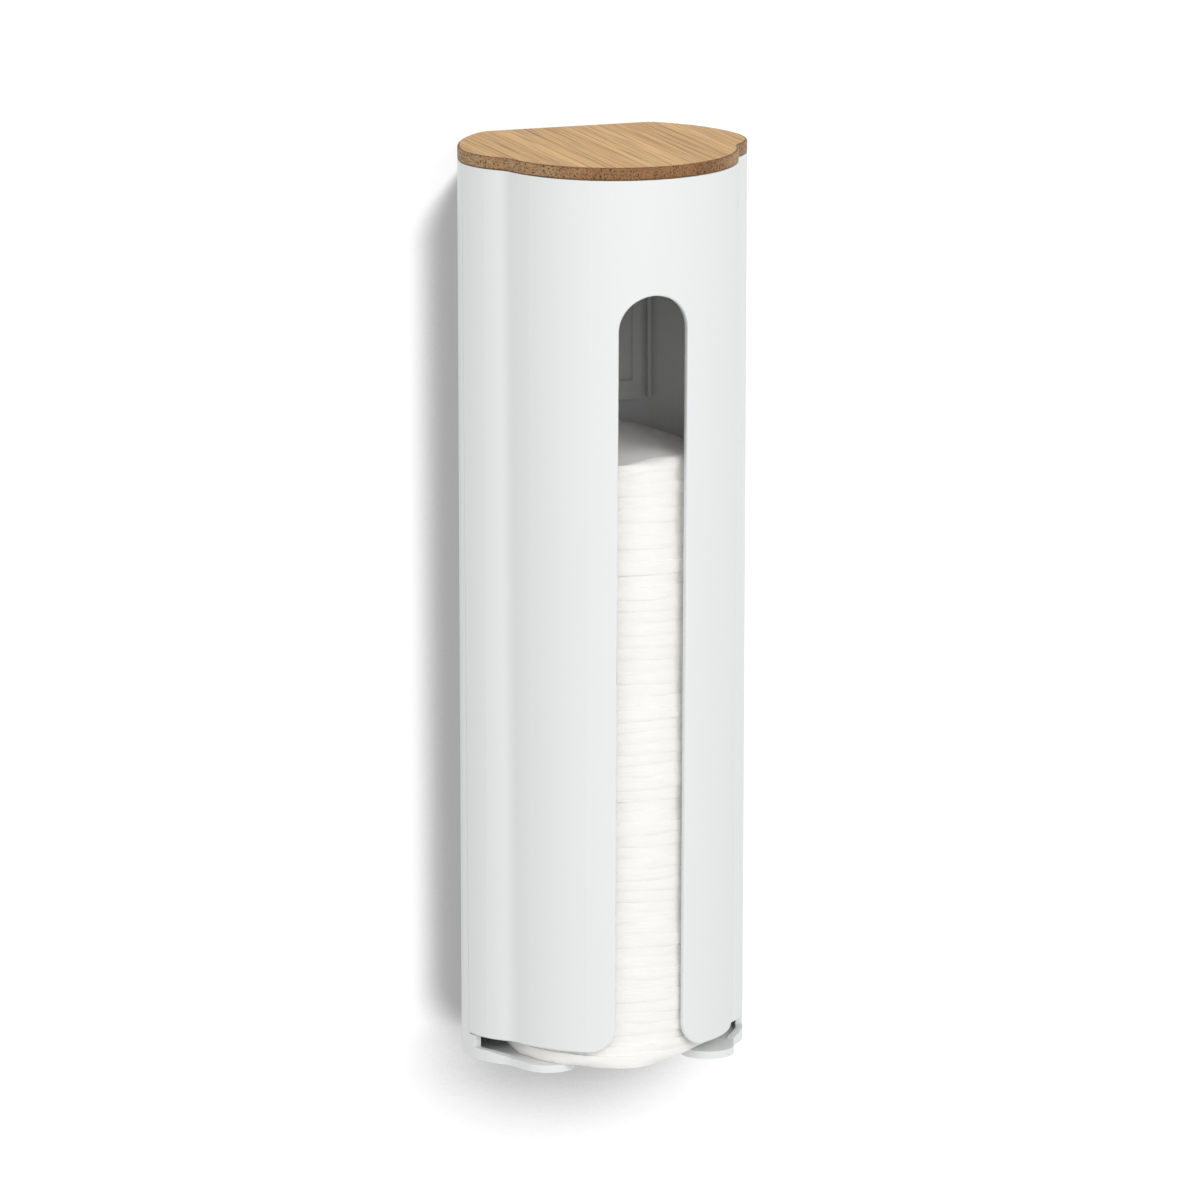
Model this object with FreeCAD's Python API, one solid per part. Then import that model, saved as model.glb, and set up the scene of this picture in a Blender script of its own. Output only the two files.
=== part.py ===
import FreeCAD, Part
import math
import os

Vector = FreeCAD.Vector

# A wall-hung tube that holds a stack of round cotton pads. The white body is moulded in two
# halves, a bamboo lid lifts off to refill it, and the bottom pad is drawn out forwards over a
# floor with two finger-wide tongues. Millimetres, X to the right, Y into the wall, Z up.
# Heights below are measured from the underside of the floor. Each piece is lowered by
# hang_height as it is written, which puts the origin on the wall behind the bracket.

# Cotton pads
pad_diameter = 57.0
pad_pitch_bottom = 2.85
pad_pitch_top = 3.34
pad_gap = 0.1
pad_sides = 20
fill_share = 0.687

# Body
body_height = 238.3
wall_gap = 1.0
frame_wall = 1.8
shell_wall = 2.0
wing_reach = 6.5
wing_setback = 3.7
back_corner_radius = 7.2
shoulder_radius = 19.3
shoulder_degrees = 8.3
waist_radius = 6.5
wing_split_degrees = 40.0
shoulder_split_degrees = 30.0
front_split_degrees = (62.0, 31.0)
side_draft = 0.6
front_draft = 3.1
pad_side_clearance = 1.4
pad_front_clearance = 0.65
pad_back_clearance = 1.0
pass_clearance = 1.45

# Seam between the two halves of the body
seam_setback = 3.5
seam_lean = 2.4
seam_gap = 0.15
lap_clearance = 0.15
lap_wall = 1.2
lap_depth = 5.0
lap_root = 3.0
lap_cover = 1.0
lap_end_margin = 8.0
snap_radius = 0.7
snap_clearance = 0.15
snap_length = 12.0
snap_setback = 2.5
snap_height_shares = (0.12, 0.5, 0.88)

# Floor, with a rim round its back and a tongue each side of the finger notch
floor_thickness = 2.0
rim_height = 3.0
pillar_lead = 1.7
plate_lead = 12.4
rim_ramp = 6.0
tongue_width = 14.0
tongue_reach = 11.2
tongue_inner_half = 15.3
tongue_flare = 1.9
tongue_flare_degrees = 20.0
notch_setback = 5.9

# Slot in the front shell
slot_width = 18.7
slot_top_margin = 30.45
slot_corner_radius = 6.5
slot_edge_round = 0.5

# Wall bracket and the pocket that hangs on it
hang_drop = 30.6
bracket_width = 32.0
bracket_height = 24.0
stem_width = 23.0
wing_thickness = 1.6
bracket_corner_radius = 2.0
bracket_lead = 0.5
run_clearance = 0.2
pocket_side_clearance = 0.6
pocket_wall = 1.6
pocket_side_wall = 2.3
lift_clearance = 0.8
recess_depth = 0.8
recess_margin = 3.4
recess_side_margin = 2.4
rib_gap = 2.5
rib_width = 1.0
rib_height = 1.8
screw_hole_radius = 1.6
screw_sink_radius = 3.2
screw_spacing = 12.0

# Adhesive foam behind the bracket
foam_margin = 0.5
foam_hole_radius = 2.2

# Rubber bumpers low on the back
bumper_radius = 4.5
bumper_spacing = 26.0
bumper_height = 14.0
bumper_recess = 0.7
bumper_fit = 0.1
bumper_lead = 0.5

# Lid
lid_thickness = 3.3
lid_seat_gap = 0.1
lid_edge_ease = 0.45
ring_height = 6.0
ring_wall = 1.6
ring_clearance = 0.4
lug_thickness = 1.8
lug_radius = 4.2
lug_screw_radius = 1.0
lug_screw_head_radius = 2.0
lug_screw_head_height = 1.1
lug_screw_clearance = 0.1
lug_screw_bite = 2.2

# Cuts run past the faces that they open
overrun = 1.0

# Sizes that follow
pad_radius = pad_diameter / 2
pocket_front_depth = wall_gap + frame_wall + wing_thickness + pocket_wall + 2 * run_clearance
pad_centre_depth = pocket_front_depth + pad_back_clearance + pad_radius
wing_centre_depth = pad_centre_depth - wing_setback
seam_depth_top = wing_centre_depth - seam_setback
pillar_depth = wing_centre_depth + pillar_lead
plate_depth = wing_centre_depth + plate_lead
notch_back_depth = pad_centre_depth - notch_setback
front_radius = pad_radius + pad_side_clearance + shell_wall + side_draft
wing_radius = front_radius + wing_reach
body_depth = pad_centre_depth + pad_radius + pad_front_clearance + shell_wall + front_draft
shell_bottom = floor_thickness + pad_pitch_bottom + pass_clearance
lap_inset = frame_wall + lap_clearance
stem_depth = wall_gap + frame_wall + run_clearance
bracket_front_depth = stem_depth + wing_thickness
hang_height = body_height - hang_drop
cavity_half = bracket_width / 2 + pocket_side_clearance
cavity_top = hang_height + bracket_height / 2 + run_clearance
lips_bottom = hang_height - bracket_height / 2
cavity_bottom = lips_bottom - bracket_height - 2 * lift_clearance
pocket_bottom = cavity_bottom - pocket_wall
pocket_top = cavity_top + pocket_wall
lid_bottom = body_height + lid_seat_gap
ring_bottom = lid_bottom - ring_height
pad_count = int(2 * fill_share * body_height / (pad_pitch_bottom + pad_pitch_top))


def shell_share(z):
    """How far down the front shell height z lies: 0 at its top, 1 at its lower edge."""
    return (body_height - z) / (body_height - shell_bottom)


def side_inset(z):
    """How much narrower the body is on each side at height z than at its top."""
    return side_draft * shell_share(z)


def arc(centre, start, end):
    """The shorter arc about centre from start to end."""
    middle = (start + end) / 2 - centre
    middle.normalize()
    return Part.Arc(start, centre + middle * (start - centre).Length, end).toShape()


def flip(point):
    return Vector(-point.x, point.y, point.z)


def on_round(centre, radius, degrees):
    """Point of a round at an angle from +X, turned towards the wall."""
    turn = math.radians(degrees)
    return centre + Vector(math.cos(turn), math.sin(turn), 0) * radius


def toward(start, end, length):
    """The point at a length from start on the way to end."""
    way = end - start
    way.normalize()
    return start + way * length


def waist_centre(shoulder, shoulder_reach, front, front_reach):
    """Centre of the hollow round between shoulder and front: at a given reach from both."""
    way = front - shoulder
    span = way.Length
    along = (shoulder_reach ** 2 - front_reach ** 2 + span ** 2) / (2 * span)
    across = math.sqrt(shoulder_reach ** 2 - along ** 2)
    way.normalize()
    return shoulder + way * along + Vector(-way.y, way.x, 0) * across


def outline(z, inset, depth, back, corner):
    """Plan of the body at height z: a wide round back cut flat at the wall, and a narrower
    round front, blended by a shoulder and a small hollow waist. inset narrows every round,
    depth and back are measured from the wall, and corner rounds the flat back's ends. The
    large rounds are divided at fixed angles, so that the skin between two heights is made of
    plain cones."""
    wing = Vector(0, -wing_centre_depth, z)
    wing_r = wing_radius - inset
    shoulder_r = shoulder_radius - inset
    front_r = front_radius - inset
    waist_r = waist_radius + inset
    shoulder = on_round(wing, wing_radius - shoulder_radius, shoulder_degrees)
    front = Vector(0, front_r - depth, z)
    waist = waist_centre(shoulder, shoulder_r + waist_r, front, front_r + waist_r)
    corner_y = -back - corner
    corner_x = math.sqrt((wing_r - corner) ** 2 - (corner_y - wing.y) ** 2)
    corner_centre = Vector(corner_x, corner_y, z)
    flat_end = Vector(corner_x, -back, z)
    wing_start = toward(wing, corner_centre, wing_r)
    shoulder_start = toward(wing, shoulder, wing_r)
    waist_start = toward(shoulder, waist, shoulder_r)
    front_start = toward(front, waist, front_r)
    wing_split = on_round(wing, wing_r, wing_split_degrees)
    shoulder_split = on_round(shoulder, shoulder_r, -shoulder_split_degrees)
    splits = [on_round(front, front_r, degrees - 90) for degrees in front_split_degrees]
    nose = Vector(0, -depth, z)
    right = []
    if corner > 0:
        right.append((corner_centre, flat_end, wing_start))
    right.append((wing, wing_start, wing_split))
    right.append((wing, wing_split, shoulder_start))
    right.append((shoulder, shoulder_start, shoulder_split))
    right.append((shoulder, shoulder_split, waist_start))
    right.append((waist, waist_start, front_start))
    for start, end in zip([front_start] + splits, splits + [nose]):
        right.append((front, start, end))
    edges = [Part.LineSegment(flip(flat_end), flat_end).toShape()]
    edges += [arc(centre, start, end) for centre, start, end in right]
    edges += [arc(flip(centre), flip(end), flip(start)) for centre, start, end in reversed(right)]
    return Part.Wire(edges)


def frame_outline(z, wall):
    corner = 0 if wall > 0 else back_corner_radius
    return outline(z, side_inset(z) + wall, body_depth - wall, wall_gap + wall, corner)


def shell_outline(z, wall):
    corner = 0 if wall > 0 else back_corner_radius
    depth = body_depth - front_draft * shell_share(z) - wall
    return outline(z, side_inset(z) + wall, depth, wall_gap + wall, corner)


def filled(section, low, high, wall):
    """Solid between the plans of a section at two heights."""
    return Part.makeLoft([section(low, wall), section(high, wall)], True, True)


def box(x_low, x_high, y_low, y_high, z_low, z_high):
    size = (x_high - x_low, y_high - y_low, z_high - z_low)
    return Part.makeBox(*size, Vector(x_low, y_low, z_low))


def side_profile(points):
    """Solid as wide as the body, cut to a side view of (depth from the wall, height) points."""
    half = wing_radius + overrun
    corners = [Vector(-half, -depth, z) for depth, z in points]
    face = Part.Face(Part.makePolygon(corners + corners[:1]))
    return face.extrude(Vector(2 * half, 0, 0))


def cylinder_y(radius, x, depth_near, depth_far, z):
    """Cylinder along Y between two depths from the wall."""
    return Part.makeCylinder(radius, depth_far - depth_near, Vector(x, -depth_far, z), Vector(0, 1, 0))


def cone_y(radius_near, radius_far, x, depth_near, depth_far, z):
    length = depth_far - depth_near
    return Part.makeCone(radius_near, radius_far, length, Vector(x, -depth_near, z), Vector(0, -1, 0))


def seam_depth(z):
    return seam_depth_top + seam_lean * shell_share(z)


def behind_seam():
    """Side profile of the back frame: up to the seam above, and stepped forwards below the
    shell, first to the pillars beside the side windows and then to the front of the floor,
    where the rim slopes down to the tongues."""
    top = body_height + overrun
    step = shell_bottom - seam_gap
    near = wall_gap - overrun
    points = [
        (near, -overrun),
        (plate_depth, -overrun),
        (plate_depth, floor_thickness),
        (plate_depth - rim_ramp, rim_height),
        (pillar_depth, rim_height),
        (pillar_depth, step),
        (seam_depth(step), step),
        (seam_depth(top), top),
        (near, top),
    ]
    return side_profile(points)


def before_seam():
    """Side profile of the front shell."""
    top = body_height + overrun
    low = shell_bottom - overrun
    far = body_depth + overrun
    points = [
        (seam_depth(low) + seam_gap, low),
        (far, low),
        (far, top),
        (seam_depth(top) + seam_gap, top),
    ]
    return side_profile(points)


def seam_band(low, high, behind, before):
    """Side profile of a strip along the seam, reaching behind and before it."""
    points = [
        (seam_depth(low) - behind, low),
        (seam_depth(low) + before, low),
        (seam_depth(high) + before, high),
        (seam_depth(high) - behind, high),
    ]
    return side_profile(points)


def snap_ridges(radius, length):
    """Upright round ridges on both sides of the seam, where shell and frame clip together."""
    low = shell_bottom + lap_end_margin
    high = ring_bottom - lap_end_margin
    ridges = []
    for share in snap_height_shares:
        z = low + share * (high - low)
        depth = seam_depth(z) - snap_setback
        reach = wing_radius - side_inset(z) - lap_inset
        x = math.sqrt(reach ** 2 - (depth - wing_centre_depth) ** 2)
        for side in (-1, 1):
            ridges.append(Part.makeCylinder(radius, length, Vector(side * x, -depth, z - length / 2)))
    return ridges


def floor_front():
    """The two tongues that carry the bottom pad's front. Each is round at its tip and widens
    outwards to its root, where it meets the side of the body."""
    radius = tongue_width / 2
    tip_depth = plate_depth + tongue_reach - radius
    inner = tongue_inner_half
    tip = Vector(inner + radius, -tip_depth, 0)
    flank = on_round(tip, radius, -tongue_flare_degrees)
    root = Vector(inner + tongue_width + tongue_flare, -plate_depth, 0)
    back = Vector(root.x, -plate_depth + tongue_width, 0)
    corners = [Vector(inner, back.y, 0), Vector(inner, tip.y, 0), tip, flank, root, back]
    tongues = []
    for side in (-1, 1):
        points = [Vector(side * point.x, point.y, 0) for point in corners]
        face = Part.Face(Part.makePolygon(points + points[:1]))
        arm = face.extrude(Vector(0, 0, floor_thickness))
        round_end = Part.makeCylinder(radius, floor_thickness, Vector(side * tip.x, tip.y, 0))
        tongues.append(arm.fuse(round_end))
    return tongues


def floor_notch():
    """The round-ended notch between the tongues, where a finger reaches the bottom pad."""
    half = tongue_inner_half
    centre_depth = notch_back_depth + half
    far = body_depth + overrun
    slot = box(-half, half, -far, -centre_depth, -overrun, floor_thickness + overrun)
    end = Part.makeCylinder(half, floor_thickness + 2 * overrun, Vector(0, -centre_depth, -overrun))
    return slot.fuse(end)


def pocket():
    """Raised box inside the back that slides over the bracket, with a rib along each side."""
    half = cavity_half + pocket_side_wall
    near = wall_gap + frame_wall / 2
    body = box(-half, half, -pocket_front_depth, -near, pocket_bottom, pocket_top)
    rib_depth = wall_gap + frame_wall + rib_height
    inner = half + rib_gap
    outer = inner + rib_width
    ribs = [
        box(-outer, -inner, -rib_depth, -near, pocket_bottom, pocket_top),
        box(inner, outer, -rib_depth, -near, pocket_bottom, pocket_top),
    ]
    return [body] + ribs


def pocket_cuts():
    """Inside of the pocket: room for the bracket's wings, a wide entry below and a narrow
    way for its stem above. A shallow recess keeps the pocket's front wall even."""
    wide = cavity_half
    narrow = stem_width / 2 + pocket_side_clearance
    near = wall_gap - overrun
    lips_depth = wall_gap + frame_wall
    inner = pocket_front_depth - pocket_wall
    wings = box(-wide, wide, -inner, -lips_depth, cavity_bottom, cavity_top)
    entry = box(-wide, wide, -inner, -near, cavity_bottom, lips_bottom)
    stem_way = box(-narrow, narrow, -inner, -near, lips_bottom, cavity_top)
    half = wide + pocket_side_wall - recess_side_margin
    far = pocket_front_depth + overrun
    bottom = pocket_bottom + recess_margin + pocket_wall
    recess = box(-half, half, -far, recess_depth - pocket_front_depth, bottom, pocket_top - recess_margin)
    return [wings, entry, stem_way, recess]


def back_frame():
    """Back half of the body: back wall, side wings, floor, rim, tongues and hanging pocket."""
    outer = filled(frame_outline, 0, body_height, 0)
    inner = filled(frame_outline, floor_thickness, body_height + overrun, frame_wall)
    ring = outer.cut(inner).common(behind_seam())
    lane = tongue_inner_half + tongue_width
    lane_way = box(-lane, lane, -body_depth, -pad_centre_depth, floor_thickness, rim_height + overrun)
    frame = ring.cut(lane_way).multiFuse(floor_front() + pocket())
    cuts = pocket_cuts() + [floor_notch()] + bumper_seats(bumper_recess, bumper_radius + bumper_fit)
    cuts += snap_ridges(snap_radius + snap_clearance, snap_length + 2 * snap_clearance)
    return frame.cut(cuts).removeSplitter()


def front_slot():
    """Arched slot with rounded lower corners, open at the shell's lower edge."""
    half = slot_width / 2
    top = body_height - slot_top_margin - half
    near = pad_centre_depth
    far = body_depth + overrun
    slot = box(-half, half, -far, -near, shell_bottom - overrun, top)
    arch = cylinder_y(half, 0, near, far, top)
    cuts = [slot, arch]
    radius = slot_corner_radius
    for side in (-1, 1):
        x = side * (half + radius)
        z = shell_bottom + radius
        low = box(min(side * half, x), max(side * half, x), -far, -near, shell_bottom - overrun, z)
        cuts.append(low.cut(cylinder_y(radius, x, near - overrun, far + overrun, z)))
    return cuts


def round_outer_edges(shell, skin):
    """Rounds the slot's edges and the lower edge where they meet the outer skin."""
    walls = Part.Compound([face for face in skin.Faces if face.BoundBox.ZLength > shell_bottom])
    slot_reach = slot_width / 2 + slot_corner_radius
    slot_top = body_height - slot_top_margin
    edges = []
    for edge in shell.Edges:
        middle = edge.valueAt((edge.FirstParameter + edge.LastParameter) / 2)
        in_slot = slot_top - edge.BoundBox.ZMax > -slot_edge_round and abs(middle.x) < slot_reach
        at_foot = middle.z < shell_bottom + slot_edge_round
        clear = -middle.y > seam_depth(middle.z) + slot_edge_round
        on_skin = walls.distToShape(Part.Vertex(middle))[0] < slot_edge_round / 10
        if clear and on_skin and (in_slot or at_foot):
            edges.append(edge)
    return shell.makeFillet(slot_edge_round, edges)


def front_shell():
    """Front half of the body, tapering downwards, with a lap behind the seam that clips into
    the frame."""
    low = shell_bottom
    high = body_height
    outer = filled(shell_outline, low, high, 0)
    inner = filled(shell_outline, low - overrun, high + overrun, shell_wall)
    shell = outer.cut(inner).common(before_seam())
    lap_low = shell_bottom + lap_end_margin / 2
    lap_high = ring_bottom - lap_end_margin / 2
    lap_hollow = filled(frame_outline, lap_low - overrun, lap_high + overrun, lap_inset + lap_wall)
    lap = filled(frame_outline, lap_low, lap_high, lap_inset).cut(lap_hollow)
    root = filled(frame_outline, lap_low, lap_high, lap_cover).cut(lap_hollow)
    lap = lap.common(seam_band(lap_low, lap_high, lap_depth, lap_root))
    root = root.common(seam_band(lap_low, lap_high, -seam_gap, lap_root))
    shell = round_outer_edges(shell.cut(front_slot()), outer)
    return shell.multiFuse([lap, root] + snap_ridges(snap_radius, snap_length)).removeSplitter()


def bracket():
    """Wall bracket: a stem on the wall and wider wings in front, with two screw holes."""
    low = hang_height - bracket_height / 2
    high = hang_height + bracket_height / 2
    half = stem_width / 2
    stem = box(-half, half, -stem_depth, -wall_gap, low, high)
    wide = bracket_width / 2
    wings = box(-wide, wide, -bracket_front_depth, -stem_depth, low, high)
    corners = [edge for edge in wings.Edges if edge.BoundBox.YLength > wing_thickness / 2]
    wings = wings.makeFillet(bracket_corner_radius, corners)
    edge_limit = wing_thickness / 2 - bracket_front_depth
    front = [edge for edge in wings.Edges if edge.BoundBox.YMax < edge_limit]
    wings = wings.makeChamfer(bracket_lead, front)
    near = wall_gap - overrun
    far = bracket_front_depth
    sink_depth = far - (screw_sink_radius - screw_hole_radius)
    holes = []
    for side in (-1, 1):
        x = side * screw_spacing / 2
        holes.append(cylinder_y(screw_hole_radius, x, near, far + overrun, hang_height))
        holes.append(cone_y(screw_hole_radius, screw_sink_radius, x, sink_depth, far, hang_height))
    return stem.fuse(wings).cut(holes).removeSplitter()


def foam_pad():
    """Double-sided foam between bracket and wall, punched where the screws would pass."""
    half = stem_width / 2 - foam_margin
    rise = bracket_height / 2 - foam_margin
    pad = box(-half, half, -wall_gap, 0, hang_height - rise, hang_height + rise)
    for side in (-1, 1):
        x = side * screw_spacing / 2
        pad = pad.cut(cylinder_y(foam_hole_radius, x, -overrun, wall_gap + overrun, hang_height))
    return pad


def bumper_seats(recess, radius):
    """Places of the two bumpers, as discs of a radius sunk into the back wall."""
    return [
        cylinder_y(radius, side * bumper_spacing / 2, wall_gap - overrun, wall_gap + recess, bumper_height)
        for side in (-1, 1)
    ]


def bumpers():
    """Soft bumpers that keep the lower end off the wall, eased where they meet it."""
    solids = []
    for side in (-1, 1):
        x = side * bumper_spacing / 2
        body = cylinder_y(bumper_radius, x, 0, wall_gap + bumper_recess, bumper_height)
        rim = [edge for edge in body.Edges if edge.BoundBox.YMin > -bumper_lead]
        solids.append(body.makeChamfer(bumper_lead, rim))
    return solids


def lug_places():
    """Screw places under the lid: one at the front, one at each side of the back."""
    inset = shell_wall + ring_clearance + ring_wall + lug_screw_head_radius + lug_screw_clearance
    side = wing_radius - inset
    return [(0, inset - body_depth), (-side, -wing_centre_depth), (side, -wing_centre_depth)]


def lid_board():
    """Bamboo board with the body's own plan and eased rims."""
    board = Part.Face(shell_outline(body_height, 0)).extrude(Vector(0, 0, lid_thickness))
    board.translate(Vector(0, 0, lid_seat_gap))
    rims = [edge for edge in board.Edges if edge.BoundBox.ZLength < lid_edge_ease]
    board = board.makeChamfer(lid_edge_ease, rims)
    pilots = [
        Part.makeCylinder(lug_screw_radius, lug_screw_bite + overrun, Vector(x, y, lid_bottom - overrun))
        for x, y in lug_places()
    ]
    return board.cut(pilots)


def lid_ring():
    """Ring under the lid that drops into the body, with three screw lugs."""
    inset = shell_wall + ring_clearance
    section = shell_outline(body_height, inset)
    hollow = shell_outline(body_height, inset + ring_wall)
    section.translate(Vector(0, 0, ring_bottom - body_height))
    hollow.translate(Vector(0, 0, ring_bottom - body_height - overrun))
    solid = Part.Face(section).extrude(Vector(0, 0, ring_height))
    room = Part.Face(hollow).extrude(Vector(0, 0, ring_height + 2 * overrun))
    lug_bottom = lid_bottom - lug_thickness
    radius = lug_screw_radius + lug_screw_clearance
    head = lug_screw_head_radius + lug_screw_clearance
    height = lug_thickness + 2 * overrun
    lugs = []
    holes = []
    for x, y in lug_places():
        foot = Vector(x, y, lug_bottom)
        lugs.append(Part.makeCylinder(lug_radius, lug_thickness, foot).common(solid))
        holes.append(Part.makeCylinder(radius, height, foot - Vector(0, 0, overrun)))
        holes.append(Part.makeCone(head, radius, lug_screw_head_height, foot))
    return solid.cut(room).multiFuse(lugs).cut(holes).removeSplitter()


def lid_screws():
    """Countersunk screws that hold the ring to the board."""
    solids = []
    for x, y in lug_places():
        foot = Vector(x, y, lid_bottom - lug_thickness)
        head = Part.makeCone(lug_screw_head_radius, lug_screw_radius, lug_screw_head_height, foot)
        shank = Part.makeCylinder(lug_screw_radius, lug_thickness + lug_screw_bite, foot)
        solids.append(head.fuse(shank).removeSplitter())
    return solids


def pad_pitch(number):
    """Height that a pad takes up, less at the bottom, where the stack's weight presses it."""
    return pad_pitch_bottom + (pad_pitch_top - pad_pitch_bottom) * (number - 1) / (pad_count - 1)


def cotton_pad(number):
    """Pad by its number in the stack, counted from the bottom. Its rim is cut in short flats,
    because cotton has no true circle and the stack repeats it."""
    z = floor_thickness + pad_gap + sum(pad_pitch(below) for below in range(1, number))
    corners = []
    centre = Vector(0, -pad_centre_depth, z)
    for side in range(pad_sides + 1):
        corners.append(on_round(centre, pad_radius, 360 * side / pad_sides))
    thickness = pad_pitch(number) - pad_gap
    return Part.Face(Part.makePolygon(corners)).extrude(Vector(0, 0, thickness))


def save(name, solids):
    """Writes one node, lowered so that the origin lies on the wall behind the bracket."""
    shape = solids[0].copy() if len(solids) == 1 else Part.makeCompound(solids)
    shape.translate(Vector(0, 0, -hang_height))
    shape.exportStep(os.path.join("parts", name + ".step"))


os.makedirs("parts", exist_ok=True)
save("wall_bracket", [bracket()])
save("adhesive_pad", [foam_pad()])
save("back_frame", [back_frame()])
save("front_shell", [front_shell()])
save("wall_bumpers", bumpers())
save("lid_board", [lid_board()])
save("lid_ring", [lid_ring()])
save("lid_screws", lid_screws())
for number in range(1, pad_count + 1):
    save("cotton_pad_%02d" % number, [cotton_pad(number)])
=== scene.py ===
import bpy
import bmesh
import math
import random
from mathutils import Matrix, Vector


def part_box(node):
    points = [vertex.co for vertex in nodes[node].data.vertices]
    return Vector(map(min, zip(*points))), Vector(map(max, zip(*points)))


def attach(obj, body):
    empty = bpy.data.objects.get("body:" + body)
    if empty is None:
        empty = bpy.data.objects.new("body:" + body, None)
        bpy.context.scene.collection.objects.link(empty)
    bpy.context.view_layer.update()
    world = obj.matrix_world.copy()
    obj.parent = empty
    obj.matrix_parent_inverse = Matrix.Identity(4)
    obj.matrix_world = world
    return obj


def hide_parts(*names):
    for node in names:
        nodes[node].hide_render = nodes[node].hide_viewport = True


# A wall-hung dispenser for round cotton pads. A white moulded tube with a tall slot hangs on
# a small bracket, a bamboo lid drops into its top, and the pads stand stacked inside it.
# Lengths are in metres and +Z is up. The wall is the plane Y = 0 and the front faces -Y.
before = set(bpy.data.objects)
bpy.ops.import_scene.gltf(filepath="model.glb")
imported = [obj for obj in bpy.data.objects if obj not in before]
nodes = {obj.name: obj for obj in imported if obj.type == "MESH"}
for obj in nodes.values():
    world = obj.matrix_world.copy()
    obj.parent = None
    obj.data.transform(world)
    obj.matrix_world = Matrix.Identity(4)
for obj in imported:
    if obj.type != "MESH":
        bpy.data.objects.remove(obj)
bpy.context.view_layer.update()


# Camera: a long lens a little above the holder and to the left of its front, level, as the
# product was photographed. The whole picture is square and the lens looks at its middle.
camera = bpy.data.objects.new("product_camera", bpy.data.cameras.new("product_camera"))
bpy.context.scene.collection.objects.link(camera)
camera.data.sensor_width = 36.0
camera.data.lens = 336.0
camera.data.clip_start = 0.1
camera.data.clip_end = 20.0
camera.location = (-0.95354, -2.70225, 0.50351)
turn_right = math.radians(19.567)
look_down = math.radians(11.721)
line_of_sight = Vector((
    math.sin(turn_right) * math.cos(look_down),
    math.cos(turn_right) * math.cos(look_down),
    -math.sin(look_down),
))
camera.rotation_mode = "QUATERNION"
camera.rotation_quaternion = line_of_sight.to_track_quat("-Z", "Y")
bpy.context.scene.camera = camera
bpy.context.scene.view_settings.view_transform = "Standard"


# Studio: a white painted wall that carries the bracket and a white floor well below. Only
# the camera and reflections see them, and only from their front, so that the back of the
# holder stays lit and open to view. The paint darkens where the holder shades it: within
# 18 mm of the sides, nearly nowhere above the lid, and further down below the floor.
def linear(hex_colour):
    """sRGB hex to the linear colour that shaders take."""
    shares = [int(hex_colour[i:i + 2], 16) / 255 for i in (1, 3, 5)]
    return [c / 12.92 if c <= 0.04045 else ((c + 0.055) / 1.055) ** 2.4 for c in shares] + [1.0]


def add_node(tree, kind, settings=None, inputs=None):
    """Adds a shader or geometry node with its settings; inputs are values or sockets to link."""
    made = tree.nodes.new(kind)
    for name, value in (settings or {}).items():
        setattr(made, name, value)
    for name, value in (inputs or {}).items():
        if isinstance(value, bpy.types.NodeSocket):
            tree.links.new(value, made.inputs[name])
        else:
            made.inputs[name].default_value = value
    return made


studio_white = bpy.data.materials.new("studio_matt_white_paint")
studio_white.use_nodes = True
tree = studio_white.node_tree
tree.nodes.clear()
ray = add_node(tree, "ShaderNodeLightPath")
side = add_node(tree, "ShaderNodeNewGeometry")
seen = add_node(tree, "ShaderNodeMath", {"operation": "MAXIMUM"}, {
    0: ray.outputs["Is Camera Ray"], 1: ray.outputs["Is Glossy Ray"]})
front = add_node(tree, "ShaderNodeMath", {"operation": "SUBTRACT"}, {
    0: seen.outputs[0], 1: side.outputs["Backfacing"]})
front.use_clamp = True
spot = add_node(tree, "ShaderNodeSeparateXYZ", None, {
    "Vector": add_node(tree, "ShaderNodeTexCoord").outputs["Object"]})
reach_beside, reach_over_lid, reach_under_floor = 0.018, 0.0004, 0.055
lid_low, lid_high = 0.004, 0.036
floor_low, floor_high = -0.223, -0.206
deeper_low, deeper_high = -0.219, -0.203
full_shade_beside, full_shade_below, no_shade = 0.48, 0.6, 0.92
darkest_tone = 0.4
above = add_node(tree, "ShaderNodeMapRange", {"interpolation_type": "SMOOTHSTEP"}, {
    "Value": spot.outputs["Z"], "From Min": lid_low, "From Max": lid_high,
    "To Min": reach_beside, "To Max": reach_over_lid})
reach = add_node(tree, "ShaderNodeMapRange", None, {
    "Value": spot.outputs["Z"], "From Min": floor_low, "From Max": floor_high,
    "To Min": reach_under_floor, "To Max": above.outputs["Result"]})
full_shade = add_node(tree, "ShaderNodeMapRange", None, {
    "Value": spot.outputs["Z"], "From Min": deeper_low, "From Max": deeper_high,
    "To Min": full_shade_below, "To Max": full_shade_beside})
corner_shade = add_node(tree, "ShaderNodeAmbientOcclusion", {"samples": 16}, {
    "Distance": reach.outputs["Result"]})
openness = add_node(tree, "ShaderNodeMapRange", {"interpolation_type": "SMOOTHSTEP"}, {
    "Value": corner_shade.outputs["AO"],
    "From Min": full_shade.outputs["Result"], "From Max": no_shade,
    "To Min": darkest_tone, "To Max": 1.0})
paint_tone = add_node(tree, "ShaderNodeCombineColor", None, {
    0: openness.outputs[0], 1: openness.outputs[0], 2: openness.outputs[0]})
darkening, own_glow = 0.6, 0.7
dulled = add_node(tree, "ShaderNodeMix", {"data_type": "RGBA"}, {
    "Factor": darkening, 6: paint_tone.outputs[0], 7: (0.0, 0.0, 0.0, 1.0)})
paint = add_node(tree, "ShaderNodeBsdfDiffuse", None, {"Color": dulled.outputs[2]})
glow = add_node(tree, "ShaderNodeEmission", None, {
    "Color": paint_tone.outputs[0], "Strength": own_glow})
lit = add_node(tree, "ShaderNodeAddShader", None, {0: paint.outputs[0], 1: glow.outputs[0]})
clear = add_node(tree, "ShaderNodeBsdfTransparent")
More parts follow.
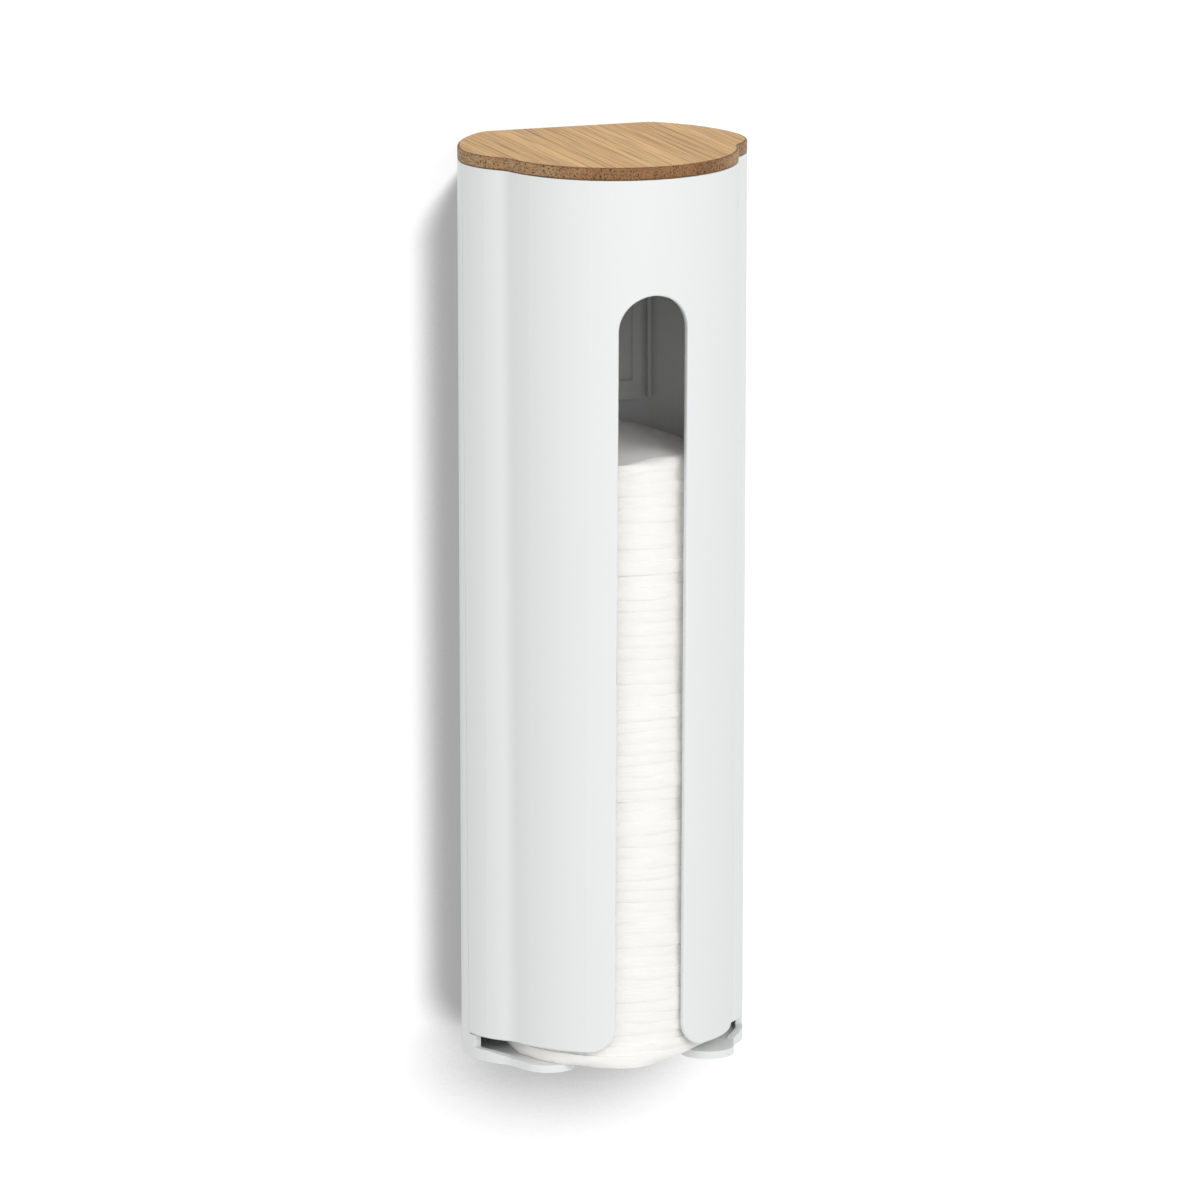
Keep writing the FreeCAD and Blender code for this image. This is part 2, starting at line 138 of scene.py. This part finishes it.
shown = add_node(tree, "ShaderNodeMixShader", None, {
    0: front.outputs[0], 1: clear.outputs[0], 2: lit.outputs[0]})
add_node(tree, "ShaderNodeOutputMaterial", None, {"Surface": shown.outputs[0]})

wall_gap = 0.0002
floor_height, wall_height = -0.42, 1.2
half_width, floor_reach = 1.5, 2.2
for name, corners in (
    ("studio_wall", [
        (-half_width, wall_gap, floor_height), (half_width, wall_gap, floor_height),
        (half_width, wall_gap, wall_height), (-half_width, wall_gap, wall_height)]),
    ("studio_floor", [
        (-half_width, -floor_reach, floor_height), (half_width, -floor_reach, floor_height),
        (half_width, wall_gap, floor_height), (-half_width, wall_gap, floor_height)]),
):
    mesh = bpy.data.meshes.new(name)
    mesh.from_pydata(corners, [], [(0, 1, 2, 3)])
    mesh.materials.append(studio_white)
    panel = bpy.data.objects.new(name, mesh)
    bpy.context.scene.collection.objects.link(panel)

world = bpy.data.worlds.new("studio_air")
bpy.context.scene.world = world
world.use_nodes = True
tree = world.node_tree
tree.nodes.clear()
ray = add_node(tree, "ShaderNodeLightPath")
white = (1.0, 1.0, 1.0, 1.0)
fill_light = add_node(tree, "ShaderNodeBackground", None, {"Color": white, "Strength": 0.62})
backdrop = add_node(tree, "ShaderNodeBackground", None, {"Color": white, "Strength": 1.0})
shown = add_node(tree, "ShaderNodeMixShader", None, {
    0: ray.outputs["Is Camera Ray"], 1: fill_light.outputs[0], 2: backdrop.outputs[0]})
add_node(tree, "ShaderNodeOutputWorld", None, {"Surface": shown.outputs[0]})

# Soft boxes round the holder: each is turned in degrees from the front and raised, its power
# in watts.
middle_of_holder = Vector((0.0, -0.035, -0.085))
lamp_distance = 2.0
lamp_width = 1.0
for name, turn, rise, power in (
    ("softbox_front", 10, 25, 14.2),
    ("softbox_left", -60, 10, 3.8),
    ("softbox_by_camera", -20, 12, 3.5),
    ("softbox_right", 80, 5, 2.2),
):
    turned, raised = math.radians(turn), math.radians(rise)
    towards = Vector((
        math.sin(turned) * math.cos(raised),
        -math.cos(turned) * math.cos(raised),
        math.sin(raised),
    ))
    lamp = bpy.data.lights.new(name, "AREA")
    lamp.shape = "SQUARE"
    lamp.size = lamp_width
    lamp.energy = power
    lamp_object = bpy.data.objects.new(name, lamp)
    lamp_object.location = middle_of_holder + towards * lamp_distance
    lamp_object.rotation_euler = towards.to_track_quat("Z", "Y").to_euler()
    bpy.context.scene.collection.objects.link(lamp_object)


# Wall bracket: a small moulded hook plate, wings over a narrower stem, on a pad of
# double-sided foam. It is the same white plastic as the body, a little glossier.
def new_material(name, **values):
    """A Principled material; values are set straight on the shader's own sockets."""
    made = bpy.data.materials.new(name)
    made.use_nodes = True
    shader = made.node_tree.nodes["Principled BSDF"]
    for socket, value in values.items():
        shader.inputs[socket.replace("_", " ")].default_value = value
    return made, made.node_tree, shader


def place_of(tree, stretch=(1.0, 1.0, 1.0)):
    """Object coordinates, scaled so that a pattern of unit size repeats at 1/stretch metres."""
    where = add_node(tree, "ShaderNodeTexCoord")
    mapped = add_node(tree, "ShaderNodeMapping", None, {
        "Vector": where.outputs["Object"], "Scale": stretch})
    return mapped.outputs["Vector"]


def moulded_plastic(name, colour, roughness, texture_mm, depth_mm):
    """Moulded ABS: an even body colour, fine spark-eroded grain from the mould, a faint
    unevenness of the gloss where the melt flowed, and painted shade that darkens the colour in the
    inner corners and creases."""
    gloss_swing, painted_shade_reach, most_painted_shade = 0.03, 0.002, 0.38
    made, tree, shader = new_material(
        name, Base_Color=linear(colour), Roughness=roughness, IOR=1.53)
    grain = add_node(tree, "ShaderNodeTexNoise", None, {
        "Vector": place_of(tree, (1000 / texture_mm,) * 3), "Scale": 1.0, "Detail": 2.0})
    flow = add_node(tree, "ShaderNodeTexNoise", None, {
        "Vector": place_of(tree, (22.0, 22.0, 7.0)), "Scale": 1.0, "Detail": 3.0})
    gloss = add_node(tree, "ShaderNodeMapRange", None, {
        "Value": flow.outputs["Fac"], "From Min": 0.3, "From Max": 0.7,
        "To Min": roughness - gloss_swing, "To Max": roughness + gloss_swing})
    tree.links.new(gloss.outputs["Result"], shader.inputs["Roughness"])
    # Painted shade: where ambient occlusion within 2 mm finds an inner corner or crease, the base
    # colour is mixed towards dark grey.
    corner = add_node(tree, "ShaderNodeAmbientOcclusion", {"samples": 8, "only_local": True}, {
        "Distance": painted_shade_reach})
    dust_and_painted_shade = add_node(tree, "ShaderNodeMapRange", None, {
        "Value": corner.outputs["AO"], "From Min": 0.3, "From Max": 0.9,
        "To Min": most_painted_shade, "To Max": 0.0})
    dulled = add_node(tree, "ShaderNodeMix", {"data_type": "RGBA"}, {
        "Factor": dust_and_painted_shade.outputs["Result"], 6: linear(colour), 7: linear("#8a8986")})
    tree.links.new(dulled.outputs[2], shader.inputs["Base Color"])
    bump = add_node(tree, "ShaderNodeBump", None, {
        "Height": grain.outputs["Fac"], "Strength": 0.25, "Distance": depth_mm / 1000})
    tree.links.new(bump.outputs["Normal"], shader.inputs["Normal"])
    return made


def dress(node, made):
    """Gives a carried-over piece its finish."""
    for place in nodes[node].material_slots:
        place.material = made


dress("wall_bracket", moulded_plastic(
    "abs_moulded_bracket_white", "#e4e6e5", roughness=0.34, texture_mm=0.5, depth_mm=0.02))

foam, tree, shader = new_material(
    "pe_foam_tape_pale_grey", Base_Color=linear("#d9d8d4"), Roughness=0.9)
cells = add_node(tree, "ShaderNodeTexVoronoi", None, {
    "Vector": place_of(tree, (2500.0,) * 3), "Scale": 1.0})
bump = add_node(tree, "ShaderNodeBump", None, {
    "Height": cells.outputs["Distance"], "Strength": 0.6, "Distance": 0.0002})
tree.links.new(bump.outputs["Normal"], shader.inputs["Normal"])
dress("adhesive_pad", foam)


# Body: two moulded halves of white ABS with a fine matt mould texture, clipped together
# along the sides. The front half carries the slot, the back half the floor and the hanger.
body_white = moulded_plastic(
    "abs_moulded_matt_white", "#e9ebeb", roughness=0.42, texture_mm=0.6, depth_mm=0.025)
dress("back_frame", body_white)
dress("front_shell", body_white)

# Bumpers: two clear soft feet stuck into shallow seats low on the back.
silicone, tree, shader = new_material(
    "silicone_soft_clear", Base_Color=linear("#d5d9da"), Roughness=0.3, IOR=1.41,
    Subsurface_Weight=0.4, Subsurface_Scale=0.002)
dust_and_painted_shade = add_node(tree, "ShaderNodeTexNoise", None, {
    "Vector": place_of(tree, (900.0,) * 3), "Scale": 1.0, "Detail": 3.0})
haze = add_node(tree, "ShaderNodeMapRange", None, {
    "Value": dust_and_painted_shade.outputs["Fac"], "To Min": 0.22, "To Max": 0.5})
tree.links.new(haze.outputs["Result"], shader.inputs["Roughness"])
dress("wall_bumpers", silicone)


# Lid: a board of pressed bamboo, 3.3 mm thick, cut to the body's plan with its rim eased by
# sanding. The fibres run from front to back, so the front rim shows their cut ends. Under
# it a moulded ring with three lugs drops into the tube, held by three countersunk screws.
def arc_points(centre, radius, start, end, count):
    """Points of a round from one angle to another, in degrees, without the last."""
    return [
        (centre[0] + radius * math.cos(math.radians(start + (end - start) * i / count)),
         centre[1] + radius * math.sin(math.radians(start + (end - start) * i / count)))
        for i in range(count)
    ]


def heading(start, end):
    """Direction from one point to another, in degrees."""
    return math.degrees(math.atan2(end[1] - start[1], end[0] - start[0]))


def lid_plan(inset):
    """Plan of the lid, in metres, counter-clockwise from the nose: a round front of 32.5 mm,
    hollow waists, shoulders, and a wide back of 39 mm cut flat at the wall."""
    shoulder_lean, shoulder_offset = 8.3, 0.0197
    back_y, corner_round = -0.001, 0.0072
    front, front_r = (0.0, -0.03765), 0.0325 - inset
    wing, wing_r = (0.0, -0.0322), 0.039 - inset
    lean = math.radians(shoulder_lean)
    shoulder = (shoulder_offset * math.cos(lean), wing[1] + shoulder_offset * math.sin(lean))
    shoulder_r, waist_r = 0.0193 - inset, 0.0065 + inset
    span = math.dist(shoulder, front)
    along = ((shoulder_r + waist_r) ** 2 - (front_r + waist_r) ** 2 + span ** 2) / (2 * span)
    across = math.sqrt((shoulder_r + waist_r) ** 2 - along ** 2)
    ux, uy = (front[0] - shoulder[0]) / span, (front[1] - shoulder[1]) / span
    waist = (shoulder[0] + ux * along - uy * across, shoulder[1] + uy * along + ux * across)
    corner_r = corner_round - inset
    corner_y = back_y - corner_round
    corner = (math.sqrt((wing_r - corner_r) ** 2 - (corner_y - wing[1]) ** 2), corner_y)
    right = arc_points(front, front_r, -90, heading(front, waist), 48)
    hollow = heading(waist, shoulder)
    right += arc_points(waist, waist_r, heading(waist, front), hollow, 8)
    right += arc_points(shoulder, shoulder_r, heading(shoulder, waist), shoulder_lean, 24)
    right += arc_points(wing, wing_r, shoulder_lean, heading(wing, corner), 32)
    right += arc_points(corner, corner_r, heading(wing, corner), 90, 12)
    right.append((corner[0], corner[1] + corner_r))
    left = [(-x, y) for x, y in reversed(right[1:])]
    return right + left


board_bottom, board_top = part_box("lid_board")[0].z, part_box("lid_board")[1].z
rim_round, rim_steps = 0.0006, 5
turns = [math.pi / 2 * step / rim_steps for step in range(rim_steps + 1)]
sections = [
    (rim_round * (1 - math.sin(turn)), board_bottom + rim_round * (1 - math.cos(turn)))
    for turn in turns
] + [
    (rim_round * (1 - math.cos(turn)), board_top - rim_round * (1 - math.sin(turn)))
    for turn in turns
]
board = bmesh.new()
rings = [[board.verts.new((x, y, z)) for x, y in lid_plan(inset)] for inset, z in sections]
for low, high in zip(rings, rings[1:]):
    for i in range(len(low)):
        j = (i + 1) % len(low)
        face = board.faces.new((low[i], low[j], high[j], high[i]))
        face.material_index = 1
        face.smooth = True
board.faces.new(list(reversed(rings[0])))
board.faces.new(rings[-1])
bmesh.ops.recalc_face_normals(board, faces=board.faces)
mesh = bpy.data.meshes.new("bamboo_lid_board")
board.to_mesh(mesh)
board.free()
lid_board = bpy.data.objects.new("bamboo_lid_board", mesh)
bpy.context.scene.collection.objects.link(lid_board)


def pressed_bamboo(name, light, dark, pore, contrast, pore_run, flank=None):
    """Carbonised bamboo, side-pressed strips under a satin lacquer: strips about 6 mm wide
    that differ a little in tone, and fibre bundles about half a millimetre thick along Y,
    with pores between them that run on for 1 / pore_run metres. The pattern is solid, so a
    cut across the fibres shows them as dots. Faces that look along X take the flank tones."""
    strip_width, strip_sway, strip_swing = 0.0062, 0.0012, 0.2
    made, tree, shader = new_material(name, Roughness=0.62, IOR=1.5, Specular_IOR_Level=0.3)
    where = add_node(tree, "ShaderNodeTexCoord")
    split = add_node(tree, "ShaderNodeSeparateXYZ", None, {"Vector": where.outputs["Object"]})
    sway = add_node(tree, "ShaderNodeTexNoise", None, {
        "Vector": place_of(tree, (12.0, 12.0, 12.0)), "Scale": 1.0, "Detail": 1.0})
    drift = add_node(tree, "ShaderNodeMath", {"operation": "MULTIPLY_ADD"}, {
        0: sway.outputs["Fac"], 1: strip_sway, 2: split.outputs["X"]})
    count = add_node(tree, "ShaderNodeMath", {"operation": "MULTIPLY"}, {
        0: drift.outputs[0], 1: 1 / strip_width})
    strip = add_node(tree, "ShaderNodeMath", {"operation": "FLOOR"}, {0: count.outputs[0]})
    tone = add_node(tree, "ShaderNodeTexWhiteNoise", {"noise_dimensions": "1D"}, {
        "W": strip.outputs[0]})
    shade = 0.5
    for stretch, strength in (
        ((2300.0, 14.0, 2300.0), 1.7),
        ((900.0, 7.0, 900.0), 0.9),
        ((220.0, 5.0, 220.0), 0.7),
    ):
        pattern = add_node(tree, "ShaderNodeTexNoise", None, {
            "Vector": place_of(tree, stretch), "Scale": 1.0, "Detail": 3.0, "Roughness": 0.6})
        swing = add_node(tree, "ShaderNodeMath", {"operation": "SUBTRACT"}, {
            0: pattern.outputs["Fac"], 1: 0.5})
        shade = add_node(tree, "ShaderNodeMath", {"operation": "MULTIPLY_ADD"}, {
            0: swing.outputs[0], 1: strength, 2: shade}).outputs[0]
    shade = add_node(tree, "ShaderNodeMath", {"operation": "MULTIPLY_ADD"}, {
        0: tone.outputs["Value"], 1: strip_swing, 2: shade}).outputs[0]
    shade = add_node(tree, "ShaderNodeMath", {"operation": "SUBTRACT", "use_clamp": True}, {
        0: shade, 1: strip_swing / 2}).outputs[0]
    base = add_node(tree, "ShaderNodeMix", {"data_type": "RGBA"}, {
        "Factor": shade, 6: linear(light), 7: linear(dark)})
    if flank:
        turned = add_node(tree, "ShaderNodeSeparateXYZ", None, {
            "Vector": where.outputs["Normal"]})
        sideways = add_node(tree, "ShaderNodeMath", {"operation": "ABSOLUTE"}, {
            0: turned.outputs["X"]})
        along_grain = add_node(tree, "ShaderNodeMapRange", {"interpolation_type": "SMOOTHSTEP"}, {
            "Value": sideways.outputs[0], "From Min": 0.4, "From Max": 0.97})
        planed = add_node(tree, "ShaderNodeMix", {"data_type": "RGBA"}, {
            "Factor": shade, 6: linear(flank[0]), 7: linear(flank[1])})
        base = add_node(tree, "ShaderNodeMix", {"data_type": "RGBA"}, {
            "Factor": along_grain.outputs["Result"], 6: base.outputs[2], 7: planed.outputs[2]})
    bundles = add_node(tree, "ShaderNodeTexNoise", None, {
        "Vector": place_of(tree, (2400.0, pore_run, 2400.0)), "Scale": 1.0, "Detail": 2.0})
    pores = add_node(tree, "ShaderNodeMapRange", None, {
        "Value": bundles.outputs["Fac"], "From Min": 0.53, "From Max": 0.68,
        "To Min": 0.0, "To Max": contrast})
    colour = add_node(tree, "ShaderNodeMix", {"data_type": "RGBA"}, {
        "Factor": pores.outputs["Result"], 6: base.outputs[2], 7: linear(pore)})
    tree.links.new(colour.outputs[2], shader.inputs["Base Color"])
    bump = add_node(tree, "ShaderNodeBump", {"invert": True}, {
        "Height": pores.outputs["Result"], "Strength": 0.35, "Distance": 0.00012})
    tree.links.new(bump.outputs["Normal"], shader.inputs["Normal"])
    return made


mesh.materials.append(pressed_bamboo(
    "bamboo_pressed_satin_lacquer", "#f8cd91", "#be8f58", "#775431", contrast=0.65, pore_run=26.0))
mesh.materials.append(pressed_bamboo(
    "bamboo_sanded_rim", "#a4784d", "#6e4a2c", "#2a190c", contrast=1.0, pore_run=1100.0,
    flank=("#c4a279", "#8e6c46")))
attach(lid_board, "lid")
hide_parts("lid_board")

dress("lid_ring", moulded_plastic(
    "abs_moulded_ring_white", "#e6e8e8", roughness=0.36, texture_mm=0.5, depth_mm=0.02))

steel, tree, shader = new_material(
    "steel_zinc_plated_screw", Base_Color=linear("#c3c5c8"), Metallic=1.0, Roughness=0.34)
wear = add_node(tree, "ShaderNodeTexNoise", None, {
    "Vector": place_of(tree, (3000.0,) * 3), "Scale": 1.0, "Detail": 2.0})
bump = add_node(tree, "ShaderNodeBump", None, {
    "Height": wear.outputs["Fac"], "Strength": 0.2, "Distance": 0.0001})
tree.links.new(bump.outputs["Normal"], shader.inputs["Normal"])
dress("lid_screws", steel)


# Cotton pads: soft discs of carded cotton, 57 mm across, punched out and stacked on the
# floor of the tube. Their rims are a little uneven and fuzzy and the stack sways slightly.
# One rule shapes them all, so that each lies on the wave of the pad below it: it makes a
# disc, wears its rim, stands it in the stack and then bends the whole stack.
pad_tree = bpy.data.node_groups.new("cotton_pad", "GeometryNodeTree")
pad_tree.interface.new_socket("Geometry", in_out="OUTPUT", socket_type="NodeSocketGeometry")
for label, kind, value in (
    ("Radius", "NodeSocketFloat", 0.0285),
    ("Bottom", "NodeSocketFloat", 0.0),
    ("Thickness", "NodeSocketFloat", 0.003),
    ("Centre", "NodeSocketVector", (0.0, 0.0, 0.0)),
    ("Seed", "NodeSocketFloat", 0.0),
    ("Upper Round", "NodeSocketFloat", 0.0),
    ("Lower Round", "NodeSocketFloat", 0.0),
    ("Pull", "NodeSocketFloat", 0.0),
    ("Finish", "NodeSocketMaterial", None),
):
    socket = pad_tree.interface.new_socket(label, in_out="INPUT", socket_type=kind)
    if value is not None:
        socket.default_value = value


def maths(operation, first, second=0.0, third=0.0):
    """One sum of the rule, on numbers or sockets."""
    made = add_node(pad_tree, "ShaderNodeMath", {"operation": operation}, {
        0: first, 1: second, 2: third})
    return made.outputs[0]


def product(first, *others):
    """The product of two or more numbers or sockets."""
    for other in others:
        first = maths("MULTIPLY", first, other)
    return first


def vector_maths(operation, first, second):
    """One sum of the rule, on vectors."""
    made = add_node(pad_tree, "ShaderNodeVectorMath", {"operation": operation}, {
        0: first, 1: second})
    return made.outputs["Vector"]


def ramp(value, start, end):
    """0 at start, 1 at end, eased at both."""
    made = add_node(pad_tree, "ShaderNodeMapRange", {"interpolation_type": "SMOOTHSTEP"}, {
        "Value": value, "From Min": start, "From Max": end})
    return made.outputs["Result"]


given = add_node(pad_tree, "NodeGroupInput").outputs
disc = add_node(pad_tree, "GeometryNodeMeshCylinder", {"fill_type": "TRIANGLE_FAN"}, {
    "Vertices": 144, "Side Segments": 8, "Fill Segments": 14,
    "Radius": given["Radius"], "Depth": given["Thickness"]})
spot = add_node(pad_tree, "GeometryNodeInputPosition").outputs[0]
parts = add_node(pad_tree, "ShaderNodeSeparateXYZ", None, {"Vector": spot}).outputs
level = add_node(pad_tree, "ShaderNodeCombineXYZ", None, {"X": parts["X"], "Y": parts["Y"]})
reach = add_node(pad_tree, "ShaderNodeVectorMath", {"operation": "LENGTH"}, {
    0: level.outputs[0]}).outputs["Value"]
share = maths("DIVIDE", reach, given["Radius"])
half = maths("MULTIPLY", given["Thickness"], 0.5)
rise = maths("DIVIDE", parts["Z"], half)

# Rim: it draws in by 0.1 mm at the upper and lower edge, by more where a round is given,
# and is ruffled all round.
edge_draw, ruffle_swing = -0.0001, 0.0014
crown = product(maths("POWER", maths("ABSOLUTE", rise), 3.0), edge_draw)
patches = add_node(pad_tree, "ShaderNodeTexNoise", None, {
    "Vector": spot, "Scale": 75.0, "Detail": 1.0})
uneven = add_node(pad_tree, "ShaderNodeMapRange", None, {
    "Value": patches.outputs[0], "From Min": 0.35, "From Max": 0.65,
    "To Min": 0.2, "To Max": 1.9})
for way, label in ((1.0, "Upper Round"), (-1.0, "Lower Round")):
    towards_edge = product(maths("ADD", product(rise, way), 1.0), 0.5)
    beyond = maths("MAXIMUM", towards_edge, 0.0)
    worn = product(uneven.outputs["Result"], given[label])
    crown = maths("SUBTRACT", crown, product(maths("POWER", beyond, 2.5), worn))
edge_noise = add_node(pad_tree, "ShaderNodeTexNoise", {"noise_dimensions": "4D"}, {
    "Vector": spot, "W": given["Seed"], "Scale": 120.0, "Detail": 3.0, "Roughness": 0.6})
ruffle = product(maths("SUBTRACT", edge_noise.outputs[0], 0.5), ruffle_swing)
shrink = maths("ADD", product(crown, maths("POWER", share, 12.0)),
               product(ruffle, maths("POWER", share, 6.0)))
factor = maths("ADD", 1.0, maths("DIVIDE", shrink, given["Radius"]))
flat = add_node(pad_tree, "ShaderNodeCombineXYZ", None, {
    "X": product(parts["X"], factor),
    "Y": product(parts["Y"], factor),
    "Z": maths("ADD", parts["Z"], maths("ADD", given["Bottom"], half))})

# Pull: the lowest pads are drawn forward at the left, and their upper edge lifts a little.
one_sided = maths("MULTIPLY_ADD", ramp(parts["X"], 0.018, -0.008), 1.3, -0.3)
towards_front = product(ramp(parts["Y"], 0.012, -0.028), one_sided)
drawn = product(towards_front, given["Pull"], -1.0)
lip_share = 0.32
lip = product(ramp(share, 0.9, 0.96), ramp(rise, 0.0, 1.0), towards_front,
              given["Pull"], lip_share)
centred = vector_maths("ADD", flat.outputs[0], given["Centre"])
stood = vector_maths("ADD", centred, add_node(
    pad_tree, "ShaderNodeCombineXYZ", None, {"Y": drawn, "Z": lip}).outputs[0])
stood_parts = add_node(pad_tree, "ShaderNodeSeparateXYZ", None, {"Vector": stood}).outputs
depth = product(stood_parts["Y"], -1.0)
floor_top = -0.2057
stack_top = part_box("cotton_pad_52")[1].z

# Bends of the whole stack, all upwards: a wave, which dies out at the floor; the top pads
# settled to the right and sagging at the front left; the lowest pads drooping over the
# floor's edge and the finger notch, and curled up by the right tongue.
wave_swing = 0.0024
swell = add_node(pad_tree, "ShaderNodeTexNoise", None, {
    "Vector": vector_maths("MULTIPLY", stood, (1.0, 1.0, 1.6)), "Scale": 42.0, "Detail": 1.5})
wave = product(maths("SUBTRACT", swell.outputs[0], 0.5),
               ramp(stood_parts["Z"], floor_top, floor_top + 0.03), wave_swing)
left_rise, right_drop = 0.001, -0.0036
settled = maths("MULTIPLY_ADD", ramp(stood_parts["X"], 0.010, 0.027), right_drop, left_rise)
settled = product(settled, ramp(stood_parts["Z"], stack_top - 0.04, stack_top))
sag_drop = -0.0017
sag = product(ramp(stood_parts["X"], 0.005, -0.008), ramp(depth, 0.05, 0.063),
              ramp(stood_parts["Z"], stack_top - 0.012, stack_top), sag_drop)
over_notch = product(ramp(maths("ABSOLUTE", stood_parts["X"]), 0.015, 0.009),
                     ramp(depth, 0.036, 0.05))
droop_drop, notch_share = -0.0007, 0.6
hang = maths("MAXIMUM", ramp(depth, 0.0558, 0.0635), product(over_notch, notch_share))
lumps = add_node(pad_tree, "ShaderNodeTexNoise", None, {
    "Vector": stood, "Scale": 110.0, "Detail": 1.0})
droop = product(hang, lumps.outputs[0], droop_drop,
                ramp(stood_parts["Z"], floor_top + 0.018, floor_top))
curl_rise = 0.003
curl = product(ramp(stood_parts["X"], -0.006, 0.022), ramp(depth, 0.034, 0.062),
               ramp(stood_parts["Z"], floor_top + 0.012, floor_top), curl_rise)
lift = maths("ADD", maths("ADD", wave, settled), maths("ADD", droop, maths("ADD", curl, sag)))
moved = vector_maths("ADD", stood, add_node(
    pad_tree, "ShaderNodeCombineXYZ", None, {"Z": lift}).outputs[0])
placed = add_node(pad_tree, "GeometryNodeSetPosition", None, {
    "Geometry": disc.outputs["Mesh"], "Position": moved})
soft = add_node(pad_tree, "GeometryNodeSetShadeSmooth", None, {"Geometry": placed.outputs[0]})
bend = add_node(pad_tree, "GeometryNodeInputMeshEdgeAngle").outputs["Unsigned Angle"]
sharpest_bend = 0.8
creased = add_node(pad_tree, "FunctionNodeCompare", {"operation": "GREATER_THAN"}, {
    "A": bend, "B": sharpest_bend})
crisp = add_node(pad_tree, "GeometryNodeSetShadeSmooth", {"domain": "EDGE"}, {
    "Geometry": soft.outputs[0], "Selection": creased.outputs[0], "Shade Smooth": False})
real = add_node(pad_tree, "GeometryNodeRealizeInstances", None, {"Geometry": crisp.outputs[0]})
made = add_node(pad_tree, "GeometryNodeSetMaterial", None, {
    "Geometry": real.outputs[0], "Material": given["Finish"]})
add_node(pad_tree, "NodeGroupOutput", None, {"Geometry": made.outputs[0]})

cotton, tree, shader = new_material(
    "cotton_carded_bleached", Base_Color=linear("#fefcf8"), Roughness=0.95,
    Specular_IOR_Level=0.2, Sheen_Weight=0.35, Sheen_Roughness=0.5,
    Subsurface_Weight=0.15, Subsurface_Scale=0.001, Subsurface_Radius=(1.0, 0.96, 0.92))
fibres = add_node(tree, "ShaderNodeTexNoise", None, {
    "Vector": place_of(tree, (500.0, 1100.0, 2600.0)), "Scale": 1.0, "Detail": 5.0,
    "Roughness": 0.7, "Distortion": 1.2})
plies = add_node(tree, "ShaderNodeTexNoise", None, {
    "Vector": place_of(tree, (160.0, 160.0, 1300.0)), "Scale": 1.0, "Detail": 3.0})
relief = add_node(tree, "ShaderNodeMath", {"operation": "ADD"}, {
    0: fibres.outputs["Fac"], 1: plies.outputs["Fac"]})
bump = add_node(tree, "ShaderNodeBump", None, {
    "Height": relief.outputs[0], "Strength": 0.5, "Distance": 0.0004})
tree.links.new(bump.outputs["Normal"], shader.inputs["Normal"])

pad_names = sorted(name for name in nodes if name.startswith("cotton_pad_"))
socket_of = {
    item.name: item.identifier for item in pad_tree.interface.items_tree
    if item.in_out == "INPUT"}
pad_radius, most_slip, overlap, seed_step = 0.02835, 0.0004, 0.00012, 7.3
upper_rounds = {len(pad_names): 0.0016}
lower_rounds = {1: 0.0007, 2: 0.0003}
pulls = {1: 0.0012, 2: 0.0003}
chance = random.Random(57)
for number, name in enumerate(pad_names, start=1):
    low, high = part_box(name)
    blank = bpy.data.objects.new("blank", bpy.data.meshes.new("blank"))
    bpy.context.scene.collection.objects.link(blank)
    shaper = blank.modifiers.new("shape", "NODES")
    shaper.node_group = pad_tree
    away = chance.uniform(0, math.tau)
    slip = 0.0 if number == 1 else chance.uniform(0.0, most_slip)
    middle = (low + high) / 2
    for label, value in (
        ("Radius", pad_radius + chance.uniform(-0.0002, 0.0001)),
        ("Bottom", low.z),
        ("Thickness", high.z - low.z + overlap),
        ("Centre", (slip * math.cos(away), middle.y + slip * math.sin(away), 0.0)),
        ("Seed", number * seed_step),
        ("Upper Round", upper_rounds.get(number, 0.0)),
        ("Lower Round", lower_rounds.get(number, 0.0)),
        ("Pull", pulls.get(number, 0.0)),
        ("Finish", cotton),
    ):
        shaper[socket_of[label]] = value
    graph = bpy.context.evaluated_depsgraph_get()
    mesh = bpy.data.meshes.new_from_object(blank.evaluated_get(graph))
    mesh.name = "soft_" + name
    blank.modifiers.clear()
    bpy.data.objects.remove(blank)
    pad = bpy.data.objects.new("soft_" + name, mesh)
    bpy.context.scene.collection.objects.link(pad)
    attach(pad, "bottom_pad" if number == 1 else "pad_stack")
    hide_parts(name)
